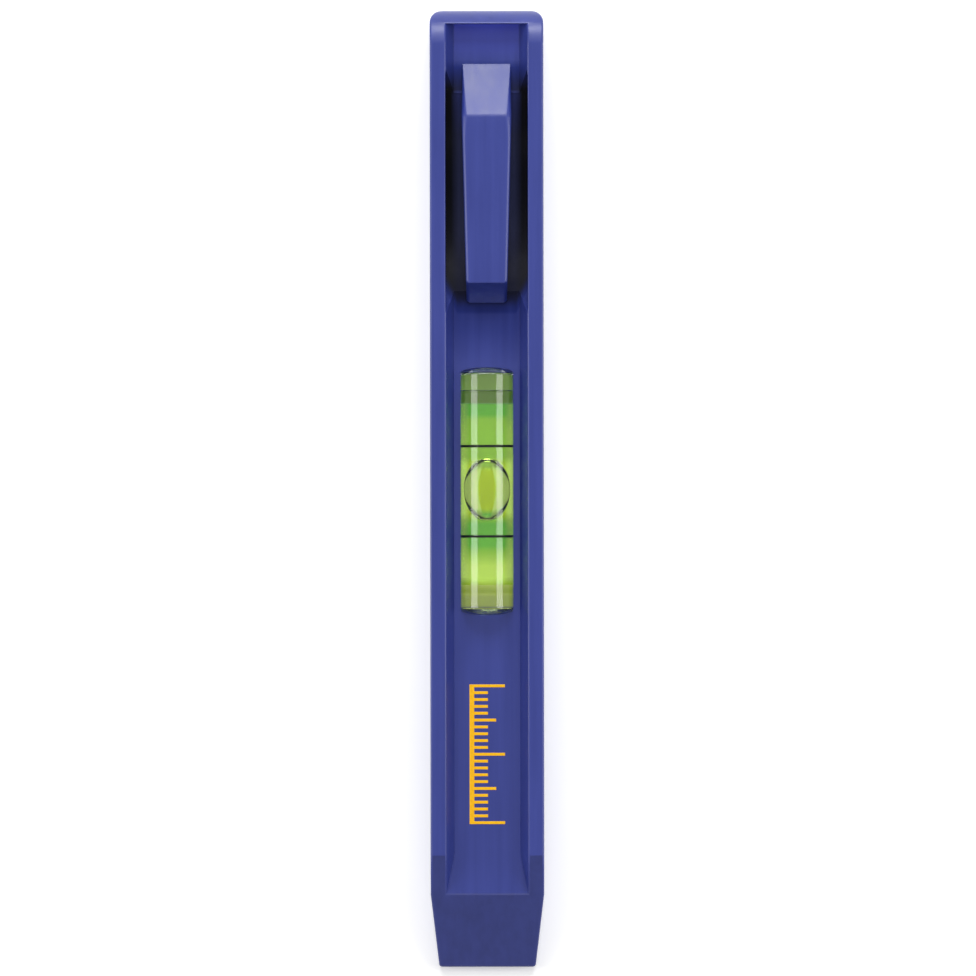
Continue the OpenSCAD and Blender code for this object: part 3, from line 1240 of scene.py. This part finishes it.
@dataclass
class PocketClip:
    """The spring clip: a ramp from the floor, an arm and a hooked tip."""

    floor_z: float = 8.4
    foot_y: float = 62.2
    crease_y: float = 54.6
    crease_z: float = 12.8
    tip_top_y: float = 30.15
    tip_top_z: float = 12.4
    tip_y: float = 27.3
    pad_z: float = 8.7
    pad_l: float = 1.6
    thick: float = 2.0
    foot_w: float = 7.0
    crease_w: float = 7.25
    tip_w: float = 5.9
    sink: float = 0.05
    foot_r: float = 0.06
    crease_r: float = 0.95
    arm_r: float = 0.58
    fold: float = 0.28
    sag: float = 0.3
    chamfer: float = 0.15
    foot_lift: float = 0.07
    edge_drop: float = 0.06
    ramp_steps: int = 6
    row_gap: float = 0.02
    arm_gap: float = 0.01
    hook_gap: float = 0.004
    foot_shares: tuple[float, ...] = (0.06, 0.13, 0.2, 0.27, 0.34, 0.4)
    arm_shares: tuple[float, ...] = (0.06, 0.14, 0.3, 0.5, 0.7, 0.9)
    face_shares: tuple[float, ...] = (0.06, 0.2, 0.35, 0.5, 0.65, 0.8, 0.96, 1.0)
    round_steps: int = 5
    most_round: float = 0.6
    most_cut: float = 0.3

    def half_width(self, y: float) -> float:
        """Half the clip's width at a place.

        Args:
            y: The place along the bar.

        Returns:
            Half the width, which is greatest at the crease.
        """
        if y > self.crease_y:
            share = (self.foot_y - y) / (self.foot_y - self.crease_y)
            return (self.foot_w + (self.crease_w - self.foot_w) * share) / 2.0
        share = (self.crease_y - y) / (self.crease_y - self.tip_y)
        return (self.crease_w + (self.tip_w - self.crease_w) * share) / 2.0

    def stations(self) -> list[tuple[Vector, Vector, float]]:
        """Upper and lower edge of the side view along the clip, and the edge round there.

        Returns:
            Rows of (upper point, lower point, radius) from the foot to the tip.
        """
        foot = Vector((0.0, self.foot_y, self.floor_z))
        crease = Vector((0.0, self.crease_y, self.crease_z))
        top = Vector((0.0, self.tip_top_y, self.tip_top_z))
        tip = Vector((0.0, self.tip_y, self.pad_z))
        runs = ((foot, crease), (crease, top), (top, tip))
        ramp, arm, face = ((end - start).normalized() for start, end in runs)
        base = self.floor_z - self.sink
        slope = -ramp.z / ramp.y
        heel = Vector((0.0, self.foot_y - (self.thick / -ramp.y - self.sink) / slope, base))
        turn = self.thick * (1.0 / -ramp.y - 1.0) / (slope - arm.z / -arm.y)
        bend = crease + arm * turn / -arm.y - Vector((0.0, 0.0, self.thick))
        hook = Vector((0.0, self.tip_top_y + self.pad_l, 0.0))
        hook.z = top.z + (hook.y - top.y) * arm.z / arm.y - self.thick
        pad = Vector((0.0, self.tip_y + self.pad_l, self.pad_z))
        rows = [(foot + Vector((0, 0, self.foot_lift)), Vector((0.0, foot.y, base)), self.foot_r)]
        # The ramp: its foot lies on the floor up to the heel, and then it rises to the bend.
        for share in self.foot_shares:
            upper = foot.lerp(crease, share)
            lower = Vector((0.0, max(upper.y, heel.y), base))
            rows.append((upper, lower, self.foot_r + (self.crease_r - self.foot_r) * share))
        lain, steps = self.foot_shares[-1], self.ramp_steps
        for step in range(1, steps + 1):
            share = lain + (1.0 - lain) * step / steps
            upper = foot.lerp(crease, share) if step < steps else crease - ramp * self.fold
            radius = self.foot_r + (self.crease_r - self.foot_r) * share
            rows.append((upper, heel.lerp(bend, step / steps - self.row_gap), radius))
        # The crease and the arm, whose round grows smaller over its first two rows.
        rows.append((crease - Vector((0, 0, self.edge_drop)), bend, self.crease_r))
        rows.append((crease + arm * self.fold, bend.lerp(hook, self.arm_gap), self.crease_r))
        for share in self.arm_shares:
            left = max(0.0, 1.0 - share / self.arm_shares[1])
            radius = self.arm_r + (self.crease_r - self.arm_r) * left
            rows.append((crease.lerp(top, share), bend.lerp(hook, share), radius))
        # The hooked tip, whose face is a little hollow.
        rows.append((top - arm * self.fold, hook.lerp(bend, self.hook_gap), self.arm_r))
        rows.append((top + (face - arm) * self.edge_drop, hook, self.arm_r))
        inward = Vector((0.0, -face.z, face.y))
        for share in self.face_shares:
            dip = inward * self.sag * 4.0 * share * (1.0 - share)
            rows.append((top.lerp(tip, share) + dip, hook.lerp(pad, share), self.arm_r))
        return rows

    def ring(self, upper: Vector, lower: Vector, radius: float) -> list[Vector]:
        """The clip's section between two points of its side view.

        Args:
            upper: The point on the outside.
            lower: The point on the inside.
            radius: The round of the outer edges.

        Returns:
            The section's outline, closed by its first point.
        """
        down = lower - upper
        deep = down.length
        down.normalize()
        radius = min(radius, deep * self.most_round)
        cut = min(self.chamfer, deep * self.most_cut)
        right = []
        for step in range(self.round_steps + 1):
            bend = math.radians(90.0 * step / self.round_steps)
            at = upper + down * radius * (1.0 - math.cos(bend))
            at.x = self.half_width(at.y) - radius * (1.0 - math.sin(bend))
            right.append(at)
        for rise, inset in ((cut, 0.0), (0.0, cut)):
            at = lower - down * rise
            at.x = self.half_width(at.y) - inset
            right.append(at)
        return ring_of(right)

    def build(self) -> Piece:
        """Builds and dresses the clip.

        Returns:
            The clip's object.
        """
        bm = hull([self.ring(*row) for row in self.stations()])
        made = piece("pocket_clip_moulding", bm, BLUE.material())
        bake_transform(made)
        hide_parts("pocket_clip")
        return made


# The vial


@dataclass
class SpiritVial:
    """The vial: barrel, plug, lines, liquid, bubble and the film behind it."""

    axis_z: float = 7.6
    radius: float = 3.9
    bore: float = 3.1
    low_y: float = -17.45
    top_y: float = 16.95
    barrel_top: float = 14.45
    cavity_low: float = -13.95
    cavity_top: float = 12.55
    crown: float = 0.8
    crown_r: float = 3.7
    edge: float = 0.12
    play: float = 0.02
    line_y: tuple[float, float] = (6.35, -6.85)
    line_w: float = 0.34
    line_proud: float = 0.02
    line_deep: float = 0.1
    line_round: float = 0.01
    line_flat: float = 0.6
    film_in: float = 3.95
    film_t: float = 0.4
    film_half: float = 67.0
    film_ends: tuple[float, float] = (-18.5, 18.0)
    bubble_l: float = 9.3
    bubble_w: float = 5.6
    bubble_mid: float = 0.7
    bubble_low: float = 0.9
    bubble_flat: float = 0.45
    film: float = 0.16
    crown_steps: int = 6

    def dome(self, y: float, way: float) -> list[Pair]:
        """The profile of a crowned end.

        Args:
            y: The place of its shoulder.
            way: 1 where it rises towards the clip end, and -1 where it rises towards the nose.

        Returns:
            The profile from the axis out to the shoulder.
        """
        points = []
        for i in range(self.crown_steps + 1):
            share = i / self.crown_steps
            points.append((self.crown_r * share, y + way * self.crown * (1.0 - share * share)))
        return points

    def barrel(self) -> Piece:
        """Builds the barrel as one closed surface from its crowned end up to the plug's flange.

        Returns:
            The barrel's object.
        """
        soft = self.radius - self.edge / 2
        profile = self.dome(self.low_y, -1.0)
        profile += [(soft, self.low_y), (self.radius, self.low_y + self.edge)]
        profile += [(self.radius, self.barrel_top - self.edge / 2), (soft, self.barrel_top)]
        profile.append((0.0, self.barrel_top))
        return self.crowned("vial_tube", turned(profile, self.axis_z), "vial_barrel")

    def plug(self) -> Piece:
        """Builds the plug's flange on the barrel's upper end.

        Returns:
            The flange's object.
        """
        low, soft = self.barrel_top + self.play, self.radius - self.edge / 2
        profile = [(0.0, low), (soft, low), (self.radius, low + self.edge / 2)]
        profile += [(self.radius, self.top_y - self.edge), (soft, self.top_y)]
        profile += self.dome(self.top_y, 1.0)[::-1]
        return self.crowned("vial_end_plug", turned(profile, self.axis_z), "vial_plug")

    def crowned(self, name: str, bm: Solid, node: str) -> Piece:
        """Dresses a clear piece, whose duller crowned end has a painted blue of the bar seen
        through it.

        Args:
            name: The piece's name.
            bm: Its mesh.
            node: The solid that it stands for.

        Returns:
            The piece.
        """
        for face in bm.faces:
            y = face.calc_center_median().y
            face.material_index = int(not self.low_y < y < self.top_y)
        made = piece(name, bm, CLEAR.material(), sharp=15.0)
        made.data.materials.append(CROWN.material())
        return self.dress(made, node)

    def line(self, name: str, y: float, node: str) -> Piece:
        """Builds one index line as a thin ring round the barrel.

        Args:
            name: The piece's name.
            y: The line's place.
            node: The solid that it stands for.

        Returns:
            The ring's object.
        """
        out, deep = self.radius + self.line_proud, self.radius - self.line_deep
        half, soft = self.line_w / 2.0, out - self.line_round
        flat = half * self.line_flat
        profile = [(deep, y - half), (soft, y - half), (out, y - flat)]
        profile += [(out, y + flat), (soft, y + half), (deep, y + half), (deep, y - half)]
        made = piece(name, turned(profile, self.axis_z), BLACK.material())
        return self.dress(made, node)

    def liquid(self) -> Piece:
        """Builds the liquid, which fills the bore.

        Returns:
            The liquid's object.
        """
        out = self.bore - self.play
        low, top = self.cavity_low + self.play, self.cavity_top - self.play
        profile = [(0.0, low), (out, low), (out, top), (0.0, top)]
        bm = turned(profile, self.axis_z)
        made = piece("vial_spirit", bm, SPIRIT.material(), sharp=15.0)
        return self.dress(made, "vial_liquid")

    def bubble(self) -> Piece:
        """Builds the bubble, which lies below the bore's crown.

        Returns:
            The bubble's object.
        """
        bm = bmesh.new()
        bmesh.ops.create_uvsphere(bm, u_segments=64, v_segments=40, radius=1.0)
        wide = self.axis_z + self.bubble_mid
        for vert in bm.verts:
            x, y, z = vert.co
            vert.co.x = x * self.bubble_w / 2.0
            vert.co.y = y * self.bubble_l / 2.0
            roof = math.sqrt((self.bore - self.film) ** 2 - vert.co.x**2) - self.bubble_mid
            past = max(0.0, math.hypot(x, y) - self.bubble_flat) / (1.0 - self.bubble_flat)
            blunt = math.sqrt(max(0.0, 1.0 - past * past))
            vert.co.z = wide + (roof * blunt if z > 0.0 else -blunt * self.bubble_low)
        made = piece("running_bubble", bm, AIR.material(), sharp=60.0, weighted=False)
        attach(made, Body.BUBBLE.value)
        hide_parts("air_bubble")
        return made

    def backing(self) -> Piece:
        """Builds the film behind the vial, coloured with painted light and shade.

        Returns:
            The film's object.
        """
        out = self.film_in + self.film_t
        low, top = self.film_ends
        profile = [(self.film_in, low), (out, low), (out, top), (self.film_in, top)]
        profile.append(profile[0])
        wrap = self.film_half
        bm = turned(profile, self.axis_z, steps=40, sweep=2.0 * wrap, start=-wrap)
        cap(bm)
        made = piece("vial_film_painted_light", bm, PAINTED_FILM.material(), sharp=30.0)
        return self.dress(made, "vial_backing")

    def dress(self, made: Piece, node: str) -> Piece:
        """Lets a piece of the vial ride on the bar for its solid.

        Args:
            made: The piece.
            node: The solid that it stands for.

        Returns:
            The piece.
        """
        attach(made, Body.BAR.value)
        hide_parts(node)
        return made

    def build(self) -> list[Piece]:
        """Builds and dresses the vial's pieces.

        Returns:
            The pieces.
        """
        upper, lower = self.line_y
        return [
            self.backing(),
            self.barrel(),
            self.plug(),
            self.line("vial_line_upper", upper, "upper_index_line"),
            self.line("vial_line_lower", lower, "lower_index_line"),
            self.liquid(),
            self.bubble(),
        ]


# The printed scale


@dataclass
class FloorScale:
    """A plain scale of ticks, printed on the channel floor."""

    start_y: float = -48.7
    pitch: float = 1.0
    ticks: int = 21
    left: float = -2.6
    spine: float = 0.7
    tick_w: float = 0.42
    short: float = 2.7
    middle: float = 3.9
    long: float = 5.2
    floor_z: float = 8.4
    above: float = 0.03
    edge: float = 0.015
    middle_every: int = 5
    long_every: int = 10

    def bar(self, bm: Solid, low: Pair, high: Pair) -> None:
        """Adds one thin printed bar.

        Args:
            bm: The scale's mesh.
            low: One corner of the bar.
            high: The corner across from it.
        """
        size = (high[0] - low[0], high[1] - low[1], 2.0 * self.above, 1.0)
        centre = ((low[0] + high[0]) / 2.0, (low[1] + high[1]) / 2.0, self.floor_z)
        place = Matrix.Translation(centre) @ Matrix.Diagonal(size)
        bmesh.ops.create_cube(bm, size=1.0, matrix=place)

    def reach(self, tick: int) -> float:
        """How far a tick reaches from the scale's left side.

        Args:
            tick: The tick's number, from 0.

        Returns:
            The distance.
        """
        if tick % self.long_every == 0:
            return self.long
        return self.middle if tick % self.middle_every == 0 else self.short

    def build(self) -> Piece:
        """Builds and dresses the scale.

        Returns:
            The scale's object.
        """
        bm = bmesh.new()
        half, root = self.tick_w / 2.0, self.left + self.spine
        end = self.start_y + self.pitch * (self.ticks - 1)
        self.bar(bm, (self.left, self.start_y - half), (root, end + half))
        for i in range(self.ticks):
            y = self.start_y + i * self.pitch
            self.bar(bm, (root, y - half), (self.left + self.reach(i), y + half))
        upper = [e for e in bm.edges if min(v.co.z for v in e.verts) > self.floor_z]
        bevel(bm, upper, self.edge, segments=1)
        made = piece("printed_scale", bm, YELLOW.material())
        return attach(made, Body.BAR.value)


# The studio


@dataclass
class SoftBox:
    """A soft lamp that looks at the bar."""

    name: str
    place: tuple[float, float, float]
    size: tuple[float, float]
    radiance: float

    def build(self) -> bpy.types.Object:
        """Builds the lamp.

        Returns:
            The lamp's object.
        """
        lamp = bpy.data.lights.new(self.name, "AREA")
        lamp.shape = "RECTANGLE"
        lamp.size, lamp.size_y = self.size
        lamp.energy = self.radiance * math.pi * self.size[0] * self.size[1]
        made = bpy.data.objects.new(self.name, lamp)
        made.location = self.place
        made.rotation_mode = "QUATERNION"
        made.rotation_quaternion = (-Vector(self.place)).to_track_quat("-Z", "Y")
        made.visible_camera = False
        bpy.context.scene.collection.objects.link(made)
        return made


@dataclass
class Studio:
    """A white table, five soft lamps round and above the bar, and the camera above it."""

    lens: float = 500.0
    sensor: float = 36.0
    view_w: float = 142.4
    roll: float = -0.07
    look_at: tuple[float, float] = (0.15, 0.22)
    top_z: float = 12.0
    table: float = 8.0
    table_tone: Colour = (0.86, 0.86, 0.86)
    table_glow: float = 0.3
    ambient: float = 0.2
    lamps: tuple[SoftBox, ...] = (
        SoftBox("lamp_left", (-0.63, 0.0, 0.28), (0.2, 0.63), 5.4),
        SoftBox("lamp_right", (0.63, 0.0, 0.28), (0.2, 0.63), 5.4),
        SoftBox("lamp_above", (0.0, 0.58, 1.06), (1.6, 0.5), 1.5),
        SoftBox("lamp_end", (0.0, 0.93, 0.58), (1.0, 0.45), 8.8),
        SoftBox("lamp_front", (0.0, -0.6, 0.9), (0.5, 0.25), 3.0),
    )

    def seen(self, tree: bpy.types.NodeTree, path: bpy.types.Node) -> Socket:
        """Tells the rays that look at the backdrop from those that light the bar.

        Args:
            tree: The nodes of the table or of the world.
            path: Their Light Path node.

        Returns:
            1 for camera, mirror and glass rays, and 0 for the rest.
        """
        value = path.outputs["Is Camera Ray"]
        for name in ("Is Glossy Ray", "Is Transmission Ray"):
            either = tree.nodes.new("ShaderNodeMath")
            either.operation = "MAXIMUM"
            tree.links.new(value, either.inputs[0])
            tree.links.new(path.outputs[name], either.inputs[1])
            value = either.outputs[0]
        return value

    def table_material(self) -> bpy.types.Material:
        """A white table that keeps shadows, and is clear from below.

        Returns:
            The finished material.
        """
        recipe = Recipe("white_table")
        matt = recipe.node("BsdfDiffuse", Color=(*self.table_tone, 1.0))
        glow = recipe.node("Emission", Strength=self.table_glow)
        path = recipe.node("LightPath")
        dark = recipe.node("Emission", Strength=0.0)
        seen = recipe.node("MixShader")
        both = recipe.node("AddShader")
        clear = recipe.node("BsdfTransparent")
        side = recipe.node("NewGeometry")
        final = recipe.node("MixShader")
        for source, target in (
            (self.seen(recipe.tree, path), seen.inputs["Fac"]),
            (dark.outputs[0], seen.inputs[1]),
            (glow.outputs[0], seen.inputs[2]),
            (matt.outputs[0], both.inputs[0]),
            (seen.outputs[0], both.inputs[1]),
            (side.outputs["Backfacing"], final.inputs["Fac"]),
            (both.outputs[0], final.inputs[1]),
            (clear.outputs[0], final.inputs[2]),
        ):
            recipe.join(source, target)
        return recipe.done(final.outputs[0])

    def floor(self) -> None:
        """Lays the table below the bar."""
        bm = bmesh.new()
        bmesh.ops.create_grid(bm, x_segments=1, y_segments=1, size=self.table / 2.0)
        mesh = bpy.data.meshes.new("table")
        bm.to_mesh(mesh)
        bm.free()
        mesh.materials.append(self.table_material())
        made = bpy.data.objects.new("table", mesh)
        bpy.context.scene.collection.objects.link(made)

    def world(self) -> None:
        """Gives a dim even light, and a white backdrop to the camera."""
        world = bpy.data.worlds.new("studio")
        world.use_nodes = True
        nodes, links = world.node_tree.nodes, world.node_tree.links
        nodes.clear()
        path = nodes.new("ShaderNodeLightPath")
        share = nodes.new("ShaderNodeMapRange")
        share.inputs["To Min"].default_value = self.ambient
        share.inputs["To Max"].default_value = 1.0
        back = nodes.new("ShaderNodeBackground")
        out = nodes.new("ShaderNodeOutputWorld")
        links.new(self.seen(world.node_tree, path), share.inputs["Value"])
        links.new(share.outputs["Result"], back.inputs["Strength"])
        links.new(back.outputs[0], out.inputs["Surface"])
        bpy.context.scene.world = world

    def camera(self) -> None:
        """Sets the camera straight above the bar."""
        data = bpy.data.cameras.new("camera")
        data.lens = self.lens
        data.sensor_width = self.sensor
        made = bpy.data.objects.new("camera", data)
        away = self.view_w * self.lens / self.sensor
        made.location = Vector((*self.look_at, self.top_z + away)) * MM
        made.rotation_euler.z = math.radians(self.roll)
        bpy.context.scene.collection.objects.link(made)
        bpy.context.scene.camera = made

    def build(self) -> None:
        """Sets up the table, the light and the camera."""
        self.floor()
        self.world()
        for lamp in self.lamps:
            lamp.build()
        self.camera()
        bpy.context.scene.view_settings.view_transform = "Standard"


def main() -> None:
    """Builds the level and its studio."""
    logging.basicConfig(level=logging.INFO, format="%(name)s %(message)s")
    Studio().build()
    LevelBar().build()
    PocketClip().build()
    SpiritVial().build()
    FloorScale().build()


if __name__ == "__main__":
    main()
